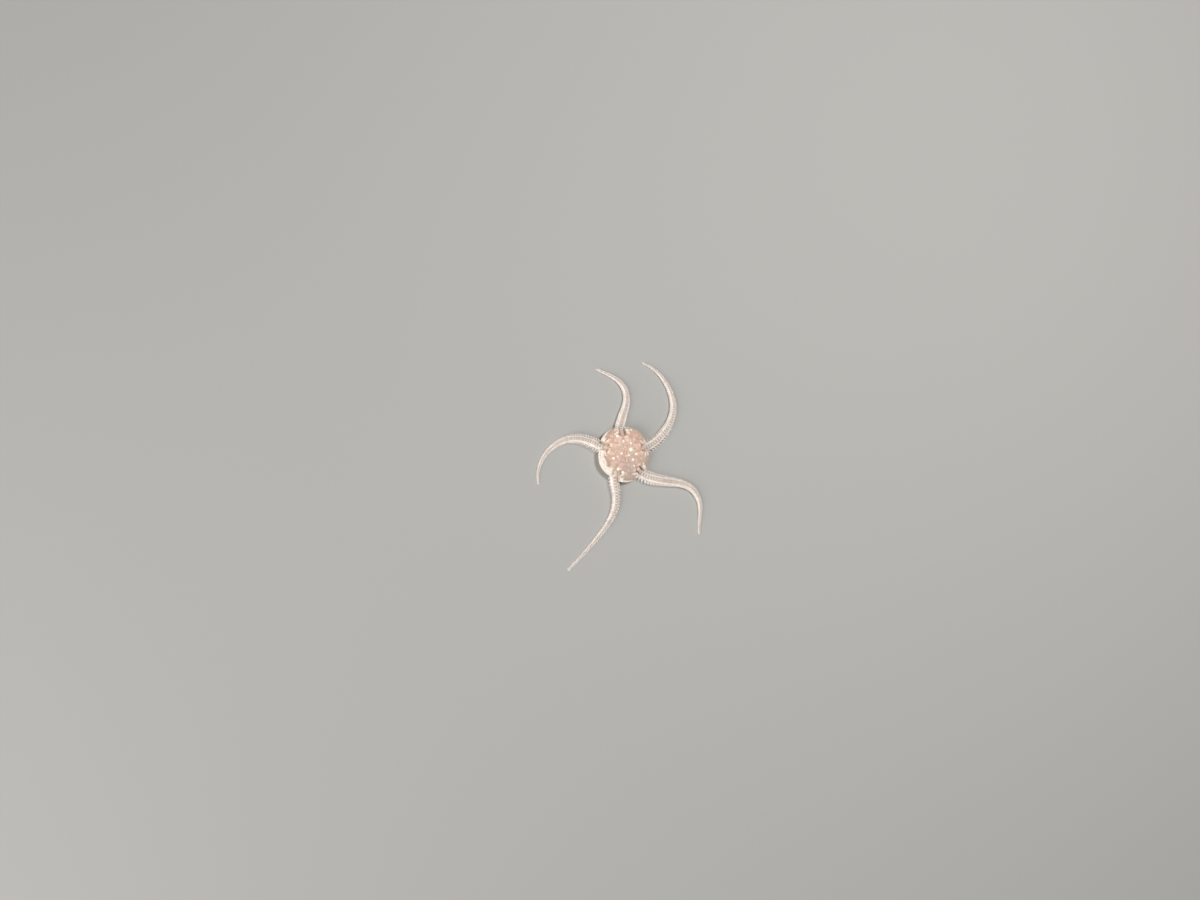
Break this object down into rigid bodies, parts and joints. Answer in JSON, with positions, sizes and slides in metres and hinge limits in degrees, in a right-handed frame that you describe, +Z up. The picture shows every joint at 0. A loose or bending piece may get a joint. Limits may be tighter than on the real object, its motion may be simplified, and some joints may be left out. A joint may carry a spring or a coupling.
{
  "type": "brittle star",
  "caption": "Life-size brittle star lying flat: a scaled rounded disc with long bent arms fringed with short spines, as a still display model.",
  "frame": {"origin": "on the floor, under the middle of the whole star's bounding box", "axes": "+Z up from the underside through the disc; +Y roughly along the upper arm's root; +X to the right of the picture"},
  "size_m": [0.1013, 0.1197, 0.0073],
  "materials": {
    "disc": "salmon scaled skin, slightly wet",
    "arms": "cream and tan limy plates, slightly wet"
  },
  "bodies": {
    "root": {"disc": "disc", "arm_upper_1": "arms", "arm_upper_2": "arms", "arm_upper_3": "arms", "arm_upper_4": "arms", "arm_left_1": "arms", "arm_left_2": "arms", "arm_left_3": "arms", "arm_left_4": "arms", "arm_lower_1": "arms", "arm_lower_2": "arms", "arm_lower_3": "arms", "arm_lower_4": "arms", "arm_right_1": "arms", "arm_right_2": "arms", "arm_right_3": "arms", "arm_right_4": "arms", "arm_far_1": "arms", "arm_far_2": "arms", "arm_far_3": "arms", "arm_far_4": "arms"}
  },
  "joints": []
}
